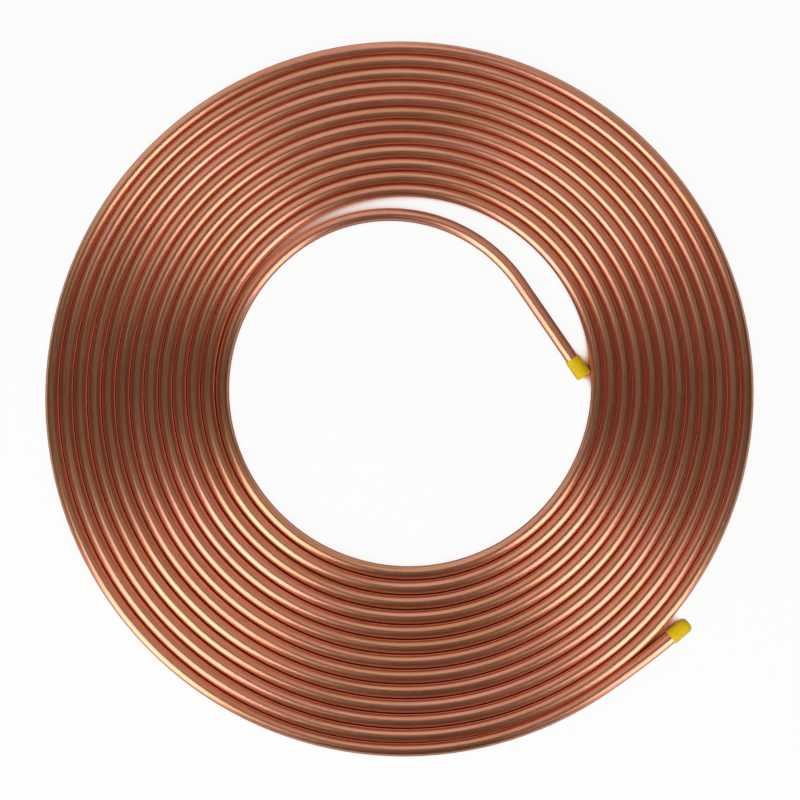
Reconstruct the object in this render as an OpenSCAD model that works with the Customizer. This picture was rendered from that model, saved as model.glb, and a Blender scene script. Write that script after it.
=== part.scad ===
// Pancake coil of copper tube with a push-on cap on each end.
// It lies on the floor at z = 0, with the middle of its box over the origin. Millimetres, +Z up.

/* [Tube] */
// Outside diameter of the tube
tube_od = 9.52; // [6:0.01:12]
// Wall of the tube
tube_wall = 0.79; // [0.5:0.01:2]

/* [Winding] */
// Outside diameter of the outermost quarter turn
coil_od = 536.92; // [450:0.01:800]
// Whole turns of the winding, before the inner tail
turns = 12; // [8:1:13]
// Air between neighbouring turns on the tight side
tight_gap = 0.06; // [0.05:0.01:1]
// Air between neighbouring turns on the loose side
loose_gap = 1.56; // [0.1:0.01:3]
// Direction of the tight side, in degrees from the outer end
tight_dir = 37.9; // [0:0.1:90]
// Direction in which the outer end leaves its turn, in degrees from +X
end_axis = 34.5; // [10:0.1:60]

/* [Ends] */
// How far the last quarter turn draws in from the winding
inner_lead = 4.1; // [0.5:0.1:8]
// How much tighter the inner tail bends than the last quarter turn
tail_inset = 15.7; // [8:0.1:25]
// Air between the inner cap's end and the innermost turn
tail_air = 0.4; // [0.2:0.01:3]
// Air between the outermost turn and the next, where the outer end leaves them
outer_air = 0.25; // [0.1:0.01:1]
// Radius on which the outer end springs open
outer_end_radius = 700; // [600:1:1500]
// Length of the outer end, up to its cap
outer_end_length = 62.6; // [40:0.1:80]

/* [Caps] */
// Wall of a cap
cap_wall = 1; // [0.6:0.01:2]
// Thickness of the closed end of a cap
cap_end = 1.6; // [0.8:0.01:3]
// Air between the tube and the inside of a cap
cap_clearance = 0.05; // [0.05:0.01:0.3]
// Length of the inner cap
inner_cap_length = 15.9; // [8:0.1:30]
// Length of the outer cap
outer_cap_length = 17.1; // [8:0.1:20]
// Rounding of the inner cap's closed end
inner_cap_round = 0.7; // [0.2:0.01:2]
// Rounding of the outer cap's closed end
outer_cap_round = 2.2; // [0.2:0.01:2.4]
// Rounding of the rim at a cap's mouth
rim_round = 0.3; // [0.1:0.01:0.45]
// Air between the end of the tube and the closed end of its cap
end_air = 0.03; // [0.02:0.01:0.5]
// Air between a cap and the floor
floor_clear = 0.02; // [0.01:0.01:1]

/* [Hidden] */
$fn = 96;

tube_r = tube_od / 2;
tube_id = tube_od - 2 * tube_wall;

// Bends meet face to face, so what places them is rounded to a thousandth and stays exact when written out
function short(v) = round(v * 1000) / 1000;
first_r = short(coil_od / 2 - tube_r);
pitch = tube_od + (tight_gap + loose_gap) / 2;
drift = (loose_gap - tight_gap) / 2;

// The radius shrinks by a step at the left, back, right and front of each turn, and the middle moves out by as much
step_left = short((pitch / 2 - drift * cos(tight_dir)) / 2);
step_right = short((pitch / 2 + drift * cos(tight_dir)) / 2);
step_front = short((pitch / 2 - drift * sin(tight_dir)) / 2);
step_back = short((pitch / 2 + drift * sin(tight_dir)) / 2);

// Quarter turns are counted clockwise from the outer end, so that four make a turn
function past(k, corner) = floor((k + 3 - corner) / 4);
function quarter_r(k) = first_r - past(k, 0) * step_left - past(k, 1) * step_back
    - past(k, 2) * step_right - past(k, 3) * step_front;
function quarter_mid(k) = [
    past(k, 2) * step_right - past(k, 0) * step_left,
    past(k, 1) * step_back - past(k, 3) * step_front
];

// The outermost quarter turn draws in, and the outer end opens from it on a wide bend
outer_lead = short(2 * step_back + step_left + step_right - tube_od - outer_air);
outer_r = first_r - outer_lead;
outer_mid = [-outer_lead, 0];
outer_end_mid = [-outer_lead, outer_end_radius - outer_r];

// The last quarter turn draws in, and the inner tail bends tighter still, to a straight along -Y
last = 4 * turns + 1;
last_r = quarter_r(last) - inner_lead;
last_mid = quarter_mid(last) - [inner_lead, 0];
tail_r = short(last_r - tail_inset);
tail_mid = last_mid + [0, last_r - tail_r];
tail_x = tail_mid.x + tail_r;

cap_bore = tube_od + 2 * cap_clearance;
cap_od = cap_bore + 2 * cap_wall;
inner_depth = inner_cap_length - cap_end - end_air;

// The outer cap is straight, so it sits midway between the ends and the middle of the bend inside it,
// and the end of the tube, which leans in it, stays clear of its closed end
end_lean = tube_r * outer_cap_length / (2 * outer_end_radius);
outer_depth = outer_cap_length - cap_end - end_air - end_lean;
function swept(length) = length / outer_end_radius * 180 / PI;
outer_cap_dir = swept(outer_end_length + outer_depth / 2);
outer_cap_r = outer_end_radius - pow(outer_depth, 2) / (16 * outer_end_radius);

// The corner of the inner cap's end stays clear of the innermost turn beside it
beside_r = quarter_r(last - 2) - tube_r - tail_air;
beside_mid = quarter_mid(last - 2);
inner_end = beside_mid.y - sqrt(pow(beside_r, 2) - pow(tail_x + cap_od / 2 - beside_mid.x, 2));
inner_straight = short(tail_mid.y - inner_end - inner_cap_length);

// The box of the winding, for putting its middle on the origin
function along_x(p) = p.x * cos(end_axis) - p.y * sin(end_axis);
function along_y(p) = p.x * sin(end_axis) + p.y * cos(end_axis);
box_front = along_y(outer_mid) - outer_r - tube_r;
box_left = along_x(quarter_mid(1)) - quarter_r(1) - tube_r;
box_back = along_y(quarter_mid(2)) + quarter_r(2) + tube_r;
box_right = along_x(quarter_mid(3)) + quarter_r(3) + tube_r;
shift_x = -(box_left + box_right) / 2;
shift_y = -(box_back + box_front) / 2;

// A cap is wider than the tube, so the coil lies on its inner cap and on the far side of its outermost turn
cap_rise = (cap_od - tube_od) / 2 + floor_clear;
far_r = quarter_r(1);
far_mid = quarter_mid(1);
lean = [tail_x, tail_mid.y - inner_straight] - far_mid;
rest_dir = atan2(lean.y, lean.x);
tilt = asin(cap_rise / (far_r + norm(lean)));

module section() {
    difference() {
        circle(d = tube_od);
        circle(d = tube_id);
    }
}

// A bend about +Z, from that direction towards the left
module bend(mid, radius, from, sweep) {
    translate([mid.x, mid.y, 0])
        rotate([0, 0, from])
            rotate_extrude(angle = sweep, convexity = 4)
                translate([radius, 0])
                    section();
}

// A quarter turn in one of the four corners: front left, back left, back right or front right
module quarter(mid, radius, corner) {
    bend(mid, radius, 180 - 90 * corner, 90);
}

// Places its children in the winding: flat in z, with the outer end leaving along +X
module in_winding() {
    translate([shift_x, shift_y, 0])
        rotate([0, 0, end_axis])
            translate([far_mid.x, far_mid.y, 0])
                rotate([0, 0, rest_dir])
                    translate([-far_r, 0, 0])
                        rotate([0, -tilt, 0])
                            translate([far_r, 0, tube_r])
                                rotate([0, 0, -rest_dir])
                                    translate([-far_mid.x, -far_mid.y, 0])
                                        children();
}

// At the start of the inner straight and at the outer cap's mouth, with +Z towards the end of the tube
module at_inner_straight() {
    in_winding()
        translate([tail_x, tail_mid.y, 0])
            rotate([90, 0, 0])
                children();
}

module at_outer_cap() {
    in_winding()
        translate([outer_end_mid.x, outer_end_mid.y, 0])
            rotate([0, 0, outer_cap_dir])
                translate([-outer_depth / 2, -outer_cap_r, 0])
                    rotate([0, 90, 0])
                        children();
}

// One length of tube, bent a quarter turn at a time
module copper_tube() {
    color([0.72, 0.45, 0.32])
        union() {
            in_winding() {
                bend(outer_end_mid, outer_end_radius, 270, swept(outer_end_length + outer_depth));
                quarter(outer_mid, outer_r, 0);
                for (k = [1 : last - 1])
                    quarter(quarter_mid(k), quarter_r(k), k % 4);
                quarter(last_mid, last_r, 1);
                quarter(tail_mid, tail_r, 2);
            }
            at_inner_straight()
                linear_extrude(height = inner_straight + inner_depth)
                    section();
        }
}

// A cup with its mouth at z = 0 and its closed end up
module cap(length, end_round) {
    rotate_extrude()
        difference() {
            union() {
                square([cap_od / 2 - end_round, length]);
                square([cap_od / 2 - rim_round, length - end_round]);
                translate([0, rim_round])
                    square([cap_od / 2, length - end_round - rim_round]);
                translate([cap_od / 2 - rim_round, rim_round])
                    circle(r = rim_round);
                intersection() {
                    translate([cap_od / 2 - end_round, length - end_round])
                        circle(r = end_round);
                    translate([0, length - end_round])
                        square([cap_od / 2, end_round]);
                }
            }
            translate([-1, -1])
                square([cap_bore / 2 + 1, length - cap_end + 1]);
        }
}

module inner_end_cap() {
    color([0.86, 0.76, 0.05])
        at_inner_straight()
            translate([0, 0, inner_straight])
                cap(inner_cap_length, inner_cap_round);
}

module outer_end_cap() {
    color([0.86, 0.76, 0.05])
        at_outer_cap()
            cap(outer_cap_length, outer_cap_round);
}

copper_tube();
inner_end_cap();
outer_end_cap();
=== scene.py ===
"""Pancake coil of copper tube with a push-on vinyl cap on each end, lying flat on a pale floor."""
import math

import bmesh
import bpy
from mathutils import Matrix, Vector


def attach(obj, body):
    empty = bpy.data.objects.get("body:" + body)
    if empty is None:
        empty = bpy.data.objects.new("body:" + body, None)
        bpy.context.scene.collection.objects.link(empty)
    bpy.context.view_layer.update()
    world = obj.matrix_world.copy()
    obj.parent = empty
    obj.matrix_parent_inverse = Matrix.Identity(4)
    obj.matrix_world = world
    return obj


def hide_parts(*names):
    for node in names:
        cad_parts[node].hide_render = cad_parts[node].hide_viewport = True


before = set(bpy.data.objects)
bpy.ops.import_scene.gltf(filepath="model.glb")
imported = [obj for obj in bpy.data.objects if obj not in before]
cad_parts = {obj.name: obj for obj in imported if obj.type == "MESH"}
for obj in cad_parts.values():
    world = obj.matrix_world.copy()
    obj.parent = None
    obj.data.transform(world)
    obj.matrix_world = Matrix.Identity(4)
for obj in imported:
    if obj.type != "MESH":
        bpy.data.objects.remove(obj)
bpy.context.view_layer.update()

MM = 0.001
QUARTER = math.pi / 2

# Tube and winding, at the sizes that the part's source has
TUBE_OD = 9.52 * MM
TUBE_WALL = 0.79 * MM
FIRST_R = 263.7 * MM
TURNS = 12
TIGHT_GAP = 0.06 * MM
LOOSE_GAP = 1.56 * MM
TIGHT_DIR = math.radians(37.9)
END_AXIS = math.radians(34.5)

# Ends of the tube
INNER_LEAD = 4.1 * MM
TAIL_INSET = 15.7 * MM
TAIL_AIR = 0.4 * MM
OUTER_AIR = 0.25 * MM
OUTER_END_R = 700 * MM
OUTER_END_LENGTH = 62.6 * MM

# Caps. The outer one's dome is rounder than the source has it, as the real one is
CAP_WALL = 1 * MM
CAP_END = 1.6 * MM
CAP_CLEARANCE = 0.05 * MM
INNER_CAP_LENGTH = 15.9 * MM
OUTER_CAP_LENGTH = 17.1 * MM
OUTER_CAP_DOME = 3.8 * MM
RIM_ROUND = 0.3 * MM
END_AIR = 0.03 * MM
FLOOR_CLEAR = 0.02 * MM

# How finely the pieces are drawn. The bore shows only at the ends, so it isn't drawn further in
TUBE_SIDES = 36
STEPS_PER_QUARTER = 37
OUTER_END_STEPS = 7
BORE_DEPTH = 30 * MM
CAP_SIDES = 64
DOME_STEPS = 10
RIM_STEPS = 4
SMOOTH_BELOW = math.radians(40)

# Points this close are merged, and what is this close to a level and this square to it is on it
WELD = 0.002 * MM
ON_LEVEL = 0.01 * MM
SQUARE_TO = 0.99

TUBE_R = TUBE_OD / 2
CAP_R = TUBE_R + CAP_CLEARANCE + CAP_WALL


def short(length):
    """A length to a thousandth of a millimetre, as the part's source rounds it."""
    return round(length / MM, 3) * MM


# The radius shrinks by a step at the left, back, right and front of each turn
PITCH = TUBE_OD + (TIGHT_GAP + LOOSE_GAP) / 2
DRIFT = (LOOSE_GAP - TIGHT_GAP) / 2
STEP_LEFT = short((PITCH / 2 - DRIFT * math.cos(TIGHT_DIR)) / 2)
STEP_RIGHT = short((PITCH / 2 + DRIFT * math.cos(TIGHT_DIR)) / 2)
STEP_FRONT = short((PITCH / 2 - DRIFT * math.sin(TIGHT_DIR)) / 2)
STEP_BACK = short((PITCH / 2 + DRIFT * math.sin(TIGHT_DIR)) / 2)


def past(k, corner):
    """How many joints of one corner lie between the outer end and quarter turn k."""
    return (k + 3 - corner) // 4


def quarter_turn(k):
    """Middle and radius of quarter turn k, counted clockwise from the outer end."""
    left, back, right, front = (past(k, corner) for corner in range(4))
    radius = FIRST_R - left * STEP_LEFT - back * STEP_BACK - right * STEP_RIGHT - front * STEP_FRONT
    return Vector((right * STEP_RIGHT - left * STEP_LEFT, back * STEP_BACK - front * STEP_FRONT, 0)), radius


# The outermost quarter turn draws in, and the outer end opens from it on a wide bend
OUTER_LEAD = short(2 * STEP_BACK + STEP_LEFT + STEP_RIGHT - TUBE_OD - OUTER_AIR)
OUTER_R = FIRST_R - OUTER_LEAD
OUTER_MID = Vector((-OUTER_LEAD, 0, 0))
OUTER_END_MID = Vector((-OUTER_LEAD, OUTER_END_R - OUTER_R, 0))
OUTER_DEPTH = OUTER_CAP_LENGTH - CAP_END - END_AIR - TUBE_R * OUTER_CAP_LENGTH / (2 * OUTER_END_R)
OUTER_SWEEP = (OUTER_END_LENGTH + OUTER_DEPTH) / OUTER_END_R

# The last quarter turn draws in, and the inner tail bends tighter still
LAST = 4 * TURNS + 1
LAST_R = quarter_turn(LAST)[1] - INNER_LEAD
LAST_MID = quarter_turn(LAST)[0] - Vector((INNER_LEAD, 0, 0))
TAIL_R = short(LAST_R - TAIL_INSET)
TAIL_MID = LAST_MID + Vector((0, LAST_R - TAIL_R, 0))
INNER_DEPTH = INNER_CAP_LENGTH - CAP_END - END_AIR


def inner_straight():
    """Length of straight tube up to the inner cap, whose end stays clear of the innermost turn."""
    middle, radius = quarter_turn(LAST - 2)
    across = TAIL_MID.x + TAIL_R + CAP_R - middle.x
    end = middle.y - math.sqrt((radius - TUBE_R - TAIL_AIR) ** 2 - across ** 2)
    return short(TAIL_MID.y - end - INNER_CAP_LENGTH)


INNER_STRAIGHT = inner_straight()


def winding_matrix():
    """From the flat winding, with its outer end along +X, to where the coil lies on inner cap and far rim."""
    turned = Matrix.Rotation(END_AXIS, 4, "Z")
    far_mid, far_r = quarter_turn(1)
    back_mid, back_r = quarter_turn(2)
    right_mid, right_r = quarter_turn(3)
    left = (turned @ far_mid).x - far_r
    back = (turned @ back_mid).y + back_r
    right = (turned @ right_mid).x + right_r
    front = (turned @ OUTER_MID).y - OUTER_R
    lean = TAIL_MID + Vector((TAIL_R, -INNER_STRAIGHT, 0)) - far_mid
    rest_dir = math.atan2(lean.y, lean.x)
    tilt = math.asin((CAP_R - TUBE_R + FLOOR_CLEAR) / (far_r + lean.length))
    return (Matrix.Translation((-(left + right) / 2, -(back + front) / 2, 0))
            @ turned
            @ Matrix.Translation(far_mid)
            @ Matrix.Rotation(rest_dir, 4, "Z")
            @ Matrix.Translation((-far_r, 0, 0))
            @ Matrix.Rotation(-tilt, 4, "Y")
            @ Matrix.Translation((far_r, 0, TUBE_R))
            @ Matrix.Rotation(-rest_dir, 4, "Z")
            @ Matrix.Translation(-far_mid))


WINDING = winding_matrix()


def deselect_all():
    if bpy.context.object and bpy.context.object.mode != "OBJECT":
        bpy.ops.object.mode_set(mode="OBJECT")
    bpy.ops.object.select_all(action="DESELECT")


def select_only(pieces):
    deselect_all()
    for piece in pieces:
        piece.select_set(True)
    bpy.context.view_layer.objects.active = pieces[0]


def add_ring(place, facing):
    """A ring of the tube's outside, square to that direction, in edit mode with all of it selected."""
    deselect_all()
    bpy.ops.mesh.primitive_circle_add(
        vertices=TUBE_SIDES, radius=TUBE_R, location=place, rotation=(QUARTER, 0, facing))
    ring = bpy.context.object
    bpy.ops.object.transform_apply(location=True, rotation=True, scale=True)
    bpy.ops.object.mode_set(mode="EDIT")
    bpy.ops.mesh.select_all(action="SELECT")
    return ring


def keep_unwound(piece, places, directions):
    """Keeps each point's place on the tube before it was wound (along it, out from the bend, and up), and
    the direction in which the tube runs there once the coil lies on the floor."""
    bpy.ops.object.mode_set(mode="OBJECT")
    for name, values in (("unwound", places), ("drawn_along", directions)):
        kept = piece.data.attributes.new(name, "FLOAT_VECTOR", "POINT")
        for point, value in zip(kept.data, values):
            point.vector = value


def bore_the_end(inwards):
    """Turns the selected open end into a square-cut one with its bore: in by the wall, then back along it."""
    edit = bmesh.from_edit_mesh(bpy.context.object.data)
    rim = [v.co for v in edit.verts if v.select]
    middle = sum(rim, Vector()) / len(rim)
    shrink = 1 - TUBE_WALL / TUBE_R
    bpy.ops.mesh.extrude_edges_move()
    bpy.ops.transform.resize(value=(shrink, shrink, shrink), center_override=middle)
    bpy.ops.mesh.extrude_edges_move(TRANSFORM_OT_translate={"value": inwards * BORE_DEPTH})
    bpy.ops.mesh.edge_face_add()


def add_bend(middle, radius, start, sweep, steps, along):
    """A ring spun clockwise from that direction round a middle. Along is where it starts on the tube."""
    arm = Vector((math.cos(start), math.sin(start), 0))
    bend = add_ring(middle + radius * arm, start)
    bpy.ops.mesh.spin(steps=steps, angle=sweep, center=middle, axis=(0, 0, 1))
    places, directions = [], []
    for v in bmesh.from_edit_mesh(bend.data).verts:
        out = v.co - middle
        directions.append(WINDING.to_3x3() @ Vector((out.y, -out.x, 0)).normalized())
        # A point a hair before the start counts as that, and not as nearly a whole turn on
        turned = (start - math.atan2(out.y, out.x) + QUARTER / 2) % (4 * QUARTER) - QUARTER / 2
        places.append((along + radius * turned, out.xy.length - radius, v.co.z))
    keep_unwound(bend, places, directions)
    return bend


def add_straight(place, length, along):
    """A ring drawn out along -Y into the inner straight, with its bore."""
    straight = add_ring(place, 0)
    bpy.ops.mesh.extrude_edges_move(TRANSFORM_OT_translate={"value": (0, -length, 0)})
    bore_the_end(Vector((0, 1, 0)))
    places = [(along + place.y - v.co.y, v.co.x - place.x, v.co.z)
              for v in bmesh.from_edit_mesh(straight.data).verts]
    keep_unwound(straight, places, [WINDING.to_3x3() @ Vector((0, -1, 0))] * len(places))
    return straight


def make_tube():
    """The outer end, each quarter turn, the inner tail and its straight, joined into one length of tube."""
    runs = [add_bend(OUTER_END_MID, OUTER_END_R, OUTER_SWEEP - QUARTER, OUTER_SWEEP, OUTER_END_STEPS, 0)]
    along = OUTER_END_R * OUTER_SWEEP
    quarters = [(OUTER_MID, OUTER_R)] + [quarter_turn(k) for k in range(1, LAST)]
    quarters += [(LAST_MID, LAST_R), (TAIL_MID, TAIL_R)]
    for k, (middle, radius) in enumerate(quarters):
        runs.append(add_bend(middle, radius, -QUARTER * (k + 1), QUARTER, STEPS_PER_QUARTER, along))
        along += radius * QUARTER
    runs.append(add_straight(TAIL_MID + Vector((TAIL_R, 0, 0)), INNER_STRAIGHT + INNER_DEPTH, along))

    select_only(runs)
    bpy.ops.object.join()
    tube = bpy.context.object
    tube.name = "drawn_copper_tube"
    bpy.ops.object.mode_set(mode="EDIT")
    bpy.ops.mesh.select_all(action="SELECT")
    bpy.ops.mesh.remove_doubles(threshold=WELD)
    # The only open edge left is the outer end's
    bpy.ops.mesh.select_all(action="DESELECT")
    bpy.ops.mesh.select_non_manifold(
        use_wire=False, use_multi_face=False, use_non_contiguous=False, use_verts=False)
    bore_the_end(Vector((-math.cos(OUTER_SWEEP), -math.sin(OUTER_SWEEP), 0)))
    bpy.ops.mesh.select_all(action="SELECT")
    bpy.ops.mesh.normals_make_consistent(inside=False)
    bpy.ops.object.mode_set(mode="OBJECT")
    tube.data.transform(WINDING)
    bpy.ops.object.shade_smooth_by_angle(angle=SMOOTH_BELOW)
    return tube


def outer_cap_matrix():
    """From a cap that stands on its mouth to where the outer one sits, midway over the bend inside it."""
    turned = (OUTER_END_LENGTH + OUTER_DEPTH / 2) / OUTER_END_R
    middle_r = OUTER_END_R - OUTER_DEPTH ** 2 / (16 * OUTER_END_R)
    return (WINDING
            @ Matrix.Translation(OUTER_END_MID)
            @ Matrix.Rotation(turned, 4, "Z")
            @ Matrix.Translation((-OUTER_DEPTH / 2, -middle_r, 0))
            @ Matrix.Rotation(QUARTER, 4, "Y"))


def select_level(height, facing):
    """Selects the flat face at that height of the object in edit mode, facing up (1) or down (-1)."""
    bpy.ops.mesh.select_all(action="DESELECT")
    bpy.ops.mesh.select_mode(type="FACE")
    edit = bmesh.from_edit_mesh(bpy.context.object.data)
    for face in edit.faces:
        at_level = abs(face.calc_center_median().z - height) < ON_LEVEL
        face.select_set(at_level and face.normal.z * facing > SQUARE_TO)
    bmesh.update_edit_mesh(bpy.context.object.data)


def make_outer_cap():
    """A dipped cup over the outer end: a cylinder domed at its end, hollowed from its mouth, rim eased."""
    deselect_all()
    bpy.ops.mesh.primitive_cylinder_add(
        vertices=CAP_SIDES, radius=CAP_R, depth=OUTER_CAP_LENGTH, location=(0, 0, OUTER_CAP_LENGTH / 2))
    cap = bpy.context.object
    cap.name = "outer_vinyl_cap"
    bpy.ops.object.transform_apply(location=True, rotation=True, scale=True)
    bpy.ops.object.mode_set(mode="EDIT")
    select_level(OUTER_CAP_LENGTH, 1)
    bpy.ops.mesh.bevel(offset=OUTER_CAP_DOME, segments=DOME_STEPS, profile=0.5, affect="EDGES")
    select_level(0, -1)
    bpy.ops.mesh.inset(thickness=CAP_WALL)
    bpy.ops.mesh.extrude_region_move(TRANSFORM_OT_translate={"value": (0, 0, OUTER_CAP_LENGTH - CAP_END)})
    bpy.ops.mesh.select_all(action="DESELECT")
    bpy.ops.mesh.select_mode(type="EDGE")
    for edge in bmesh.from_edit_mesh(cap.data).edges:
        at_mouth = all(abs(v.co.z) < ON_LEVEL for v in edge.verts)
        edge.select_set(at_mouth and all(v.co.xy.length > CAP_R - CAP_WALL / 2 for v in edge.verts))
    bpy.ops.mesh.bevel(offset=RIM_ROUND, segments=RIM_STEPS, profile=0.5, affect="EDGES")
    bpy.ops.mesh.select_all(action="SELECT")
    bpy.ops.mesh.remove_doubles(threshold=WELD)
    bpy.ops.mesh.normals_make_consistent(inside=False)
    bpy.ops.object.mode_set(mode="OBJECT")
    cap.data.transform(outer_cap_matrix())
    bpy.ops.object.shade_smooth_by_angle(angle=SMOOTH_BELOW)
    return cap


def linear(hex_colour):
    """An sRGB hex colour as linear red, green, blue and alpha."""
    channels = [int(hex_colour[i:i + 2], 16) / 255 for i in (1, 3, 5)]
    return [c / 12.92 if c <= 0.04045 else ((c + 0.055) / 1.055) ** 2.4 for c in channels] + [1.0]


def add_node(tree, kind, settings, links=()):
    """Adds a node. Settings name properties, or inputs by name or number. Links are (input, output)."""
    node = tree.nodes.new(kind)
    for name, value in settings.items():
        if isinstance(name, str) and name in node.bl_rna.properties:
            setattr(node, name, value)
        else:
            node.inputs[name].default_value = value
    for name, source in links:
        tree.links.new(source, node.inputs[name])
    return node


def new_material(name):
    material = bpy.data.materials.new(name)
    material.use_nodes = True
    material.node_tree.nodes.clear()
    return material, material.node_tree


def noise(tree, place, size, detail=2.0):
    """Noise whose spots have that size along the three axes of a place, about 0.5 on average."""
    scaled = add_node(tree, "ShaderNodeMapping", {"Scale": [1 / s for s in size]}, [("Vector", place)])
    spots = add_node(tree, "ShaderNodeTexNoise", {"Scale": 1.0, "Detail": detail}, [
        ("Vector", scaled.outputs[0])])
    return spots.outputs[0]


def spread(tree, value, low, high, to_low=0, to_high=1):
    """A value stretched from one range to another, and held at its ends."""
    stretched = add_node(tree, "ShaderNodeMapRange", {1: low, 2: high, 3: to_low, 4: to_high}, [(0, value)])
    return stretched.outputs[0]


def blend(tree, share, first, second):
    """Two colours mixed by a share. A colour is a hex string or a node's output."""
    mixed = add_node(tree, "ShaderNodeMix", {"data_type": "RGBA"}, [(0, share)])
    for socket, colour in ((6, first), (7, second)):
        if isinstance(colour, str):
            mixed.inputs[socket].default_value = linear(colour)
        else:
            tree.links.new(colour, mixed.inputs[socket])
    return mixed.outputs[2]


def drawn_copper():
    """Bright soft copper: lines from the die stretch its highlights round the tube, and bloom warms them."""
    material, tree = new_material("drawn_copper")
    place = add_node(tree, "ShaderNodeAttribute", {"attribute_name": "unwound"}).outputs["Vector"]
    along = add_node(tree, "ShaderNodeAttribute", {"attribute_name": "drawn_along"}).outputs["Vector"]
    # Die lines are a few hundredths of a millimetre wide, drawn coarser to show
    lines = noise(tree, place, (70 * MM, 0.35 * MM, 0.35 * MM), 3)
    # Annealing leaves the copper redder or yellower from one stretch of half a metre to the next
    tint = noise(tree, place, (450 * MM, 90 * MM, 90 * MM), 1)
    # Bloom of oxide, in clouds as long as a hand
    bloom = noise(tree, place, (110 * MM, 7 * MM, 7 * MM), 3)
    # Short rubs where turn slid on turn
    rubs = noise(tree, place, (16 * MM, 0.9 * MM, 0.9 * MM), 2)
    colour = blend(tree, spread(tree, tint, 0.38, 0.62), "#faad93", "#f3ae88")
    colour = blend(tree, spread(tree, bloom, 0.4, 0.68, 0, 0.7), colour, "#d8946e")
    colour = blend(tree, spread(tree, lines, 0.42, 0.66, 0, 0.3), colour, "#c98565")
    colour = blend(tree, spread(tree, rubs, 0.64, 0.74, 0, 0.55), colour, "#b8735a")
    rough = add_node(tree, "ShaderNodeMath", {"operation": "ADD"}, [
        (0, spread(tree, lines, 0.3, 0.7, 0.25, 0.36)), (1, spread(tree, rubs, 0.6, 0.75, 0, 0.12))])
    grooves = add_node(tree, "ShaderNodeBump", {"Strength": 0.4, "Distance": 0.02 * MM}, [("Height", lines)])
    # The lines run along the tube, so a quarter turn spreads the gloss across them
    shader = add_node(tree, "ShaderNodeBsdfPrincipled", {
        "Metallic": 1.0, "Anisotropic": 0.6, "Anisotropic Rotation": 0.25}, [
        ("Base Color", colour), ("Roughness", rough.outputs[0]),
        ("Normal", grooves.outputs[0]), ("Tangent", along)])
    add_node(tree, "ShaderNodeOutputMaterial", {}, [(0, shader.outputs[0])])
    return material


def dipped_vinyl():
    """Soft yellow vinyl: a dipped skin, slightly uneven in depth of colour, with a broad waxy highlight."""
    material, tree = new_material("dipped_yellow_vinyl")
    place = add_node(tree, "ShaderNodeTexCoord", {}).outputs["Object"]
    depth = noise(tree, place, (4 * MM, 4 * MM, 4 * MM))
    # The skin's ripple, drawn coarser to show
    ripple = noise(tree, place, (0.9 * MM, 0.9 * MM, 0.9 * MM), 3)
    colour = blend(tree, spread(tree, depth, 0.35, 0.65), "#e8c600", "#e0bb00")
    skin = add_node(tree, "ShaderNodeBump", {"Strength": 0.5, "Distance": 0.05 * MM}, [("Height", ripple)])
    shader = add_node(tree, "ShaderNodeBsdfPrincipled", {
        "IOR": 1.53, "Specular IOR Level": 0.2, "Subsurface Weight": 0.15, "Subsurface Scale": 1.5 * MM}, [
        ("Base Color", colour), ("Roughness", spread(tree, ripple, 0.3, 0.7, 0.36, 0.5)),
        ("Normal", skin.outputs[0])])
    add_node(tree, "ShaderNodeOutputMaterial", {}, [(0, shader.outputs[0])])
    return material


# The floor is white to the eye and in reflections, except where the coil closes it in and shade is painted on
# it
FLOOR_SIDE = 24
FLOOR_WHITE = 0.92
SKY_REACH = 40 * MM
SKY_SAMPLES = 24

# How much sky the paper sees, from 0 to 1, over which its painted shade fades: in a slit between turns,
# coming out of one, at the foot of an outermost turn, and beyond it
IN_SLIT = (0.22, 0.4)
OUT_OF_SLIT = (0.34, 0.48)
AT_FOOT = (0.34, 0.55)
BEYOND_FOOT = (0.9, 1.0)


def white_floor():
    """White paper that takes the coil's shadow, with painted shade and painted copper-red reflected light
    where it lies deep between turns.
    """
    material, tree = new_material("white_sweep")
    sky = add_node(tree, "ShaderNodeAmbientOcclusion", {"samples": SKY_SAMPLES, "Distance": SKY_REACH})
    sky = sky.outputs["AO"]
    path = add_node(tree, "ShaderNodeLightPath", {})
    camera_ray = path.outputs["Is Camera Ray"]
    out_of_slit = spread(tree, sky, *OUT_OF_SLIT)
    # To the eye the paper has painted shade, dark red deep between turns, and a painted warm glow of
    # reflected copper at their edges
    warm = blend(tree, spread(tree, sky, *IN_SLIT), "#2a0200", "#d07c4c")
    to_eye = blend(tree, out_of_slit, warm, "#ffffff")
    # The copper mirrors it with painted shade: a pale warm tone between turns, and dark at the foot of the
    # outermost ones
    foot = blend(tree, spread(tree, sky, *AT_FOOT), "#e4c4b2", "#30140a")
    mirrored = blend(tree, spread(tree, sky, *BEYOND_FOOT), foot, "#ffffff")
    # The paper's own colour is painted copper red where the turns close it in, standing for the light they
    # reflect onto it
    paper = add_node(tree, "ShaderNodeBsdfDiffuse", {}, [
        ("Color", blend(tree, out_of_slit, "#d8421c", "#f4f4f2"))])
    white = add_node(tree, "ShaderNodeEmission", {"Strength": 1.0}, [
        ("Color", blend(tree, camera_ray, mirrored, to_eye))])
    seen = camera_ray
    for ray in ("Is Glossy Ray", "Is Transmission Ray"):
        seen = add_node(tree, "ShaderNodeMath", {"operation": "MAXIMUM"}, [
            (0, seen), (1, path.outputs[ray])]).outputs[0]
    share = add_node(tree, "ShaderNodeMath", {"operation": "MULTIPLY", 1: FLOOR_WHITE}, [(0, seen)])
    mixed = add_node(tree, "ShaderNodeMixShader", {}, [
        (0, share.outputs[0]), (1, paper.outputs[0]), (2, white.outputs[0])])
    add_node(tree, "ShaderNodeOutputMaterial", {}, [(0, mixed.outputs[0])])
    return material


def make_floor():
    deselect_all()
    bpy.ops.mesh.primitive_plane_add(size=FLOOR_SIDE)
    floor = bpy.context.object
    floor.name = "floor"
    floor.data.materials.append(white_floor())


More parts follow.
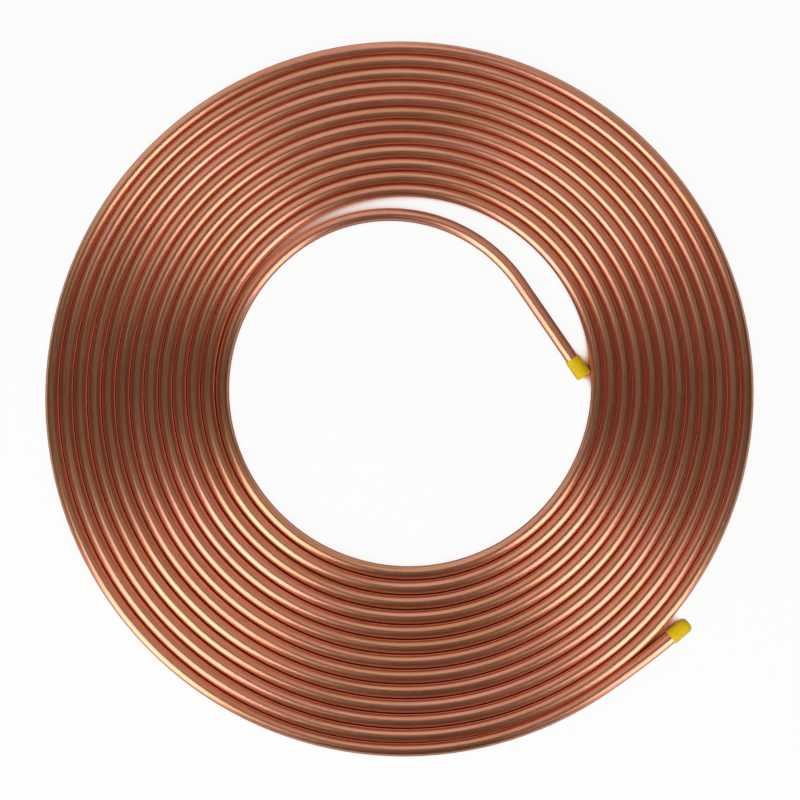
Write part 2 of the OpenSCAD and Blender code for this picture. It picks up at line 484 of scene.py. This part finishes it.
# The camera stands straight over the coil
PHOTO_SIDE = 800
MM_PER_PIXEL = 0.745
LENS = 100
SENSOR = 36
VIEW_CENTRE = Vector((0.5, -0.75, 0)) * MM


def make_camera():
    data = bpy.data.cameras.new("camera")
    data.lens = LENS
    data.sensor_width = SENSOR
    camera = bpy.data.objects.new("camera", data)
    bpy.context.scene.collection.objects.link(camera)
    distance = PHOTO_SIDE * MM_PER_PIXEL * MM * LENS / SENSOR
    camera.location = VIEW_CENTRE + Vector((0, 0, TUBE_R + distance))
    bpy.context.scene.camera = camera


# Each lamp's name, azimuth and elevation in degrees, distance, width and height in metres, and brightness
LAMPS = (
    ("left_softbox", 225, 35, 1.6, 0.75, 2.0, 2.8),
    ("right_softbox", 315, 33, 1.6, 0.5, 1.9, 2.9),
    ("back_panel", 118, 35, 1.7, 2.0, 2.2, 0.63),
    ("side_panel", 55, 40, 1.7, 1.3, 2.5, 0.36),
    ("top_panel", 75, 74, 1.8, 1.0, 0.55, 0.25),
)
# Brings matt surfaces to a plain level, without a second highlight on the copper
FILL = ("soft_fill", 260, 55, 1.8, 1.6, 1.6, 1.3)
# The dim warm room round the lamps, linear, and the white that the camera sees past the floor
ROOM = (0.068, 0.052, 0.035, 1)
WHITE = (1, 1, 1, 1)


def softbox(name, azimuth, elevation, distance, width, height, brightness):
    """A lamp that faces the coil from that direction, as bright as that many times white."""
    data = bpy.data.lights.new(name, "AREA")
    data.shape = "RECTANGLE"
    data.size = width
    data.size_y = height
    data.energy = brightness * math.pi * width * height
    lamp = bpy.data.objects.new(name, data)
    bpy.context.scene.collection.objects.link(lamp)
    az, el = math.radians(azimuth), math.radians(elevation)
    towards = Vector((math.cos(el) * math.cos(az), math.cos(el) * math.sin(az), math.sin(el)))
    lamp.location = towards * distance
    lamp.rotation_euler = towards.to_track_quat("Z", "Y").to_euler()
    lamp.visible_camera = False
    return lamp


def make_lights():
    for lamp in LAMPS:
        softbox(*lamp)
    softbox(*FILL).visible_glossy = False
    world = bpy.data.worlds.new("studio")
    world.use_nodes = True
    bpy.context.scene.world = world
    tree = world.node_tree
    path = add_node(tree, "ShaderNodeLightPath", {})
    shade = add_node(tree, "ShaderNodeMix", {"data_type": "RGBA", 6: ROOM, 7: WHITE}, [
        (0, path.outputs["Is Camera Ray"])])
    tree.links.new(shade.outputs[2], tree.nodes["Background"].inputs["Color"])


tube = make_tube()
tube.data.materials.append(drawn_copper())
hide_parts("copper_tube")
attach(tube, "root")

vinyl = dipped_vinyl()
inner_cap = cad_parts["inner_end_cap"]
inner_cap.data.materials.clear()
inner_cap.data.materials.append(vinyl)

outer_cap = make_outer_cap()
outer_cap.data.materials.append(vinyl)
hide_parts("outer_end_cap")
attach(outer_cap, "root")

make_floor()
make_camera()
make_lights()
bpy.context.scene.view_settings.view_transform = "Standard"
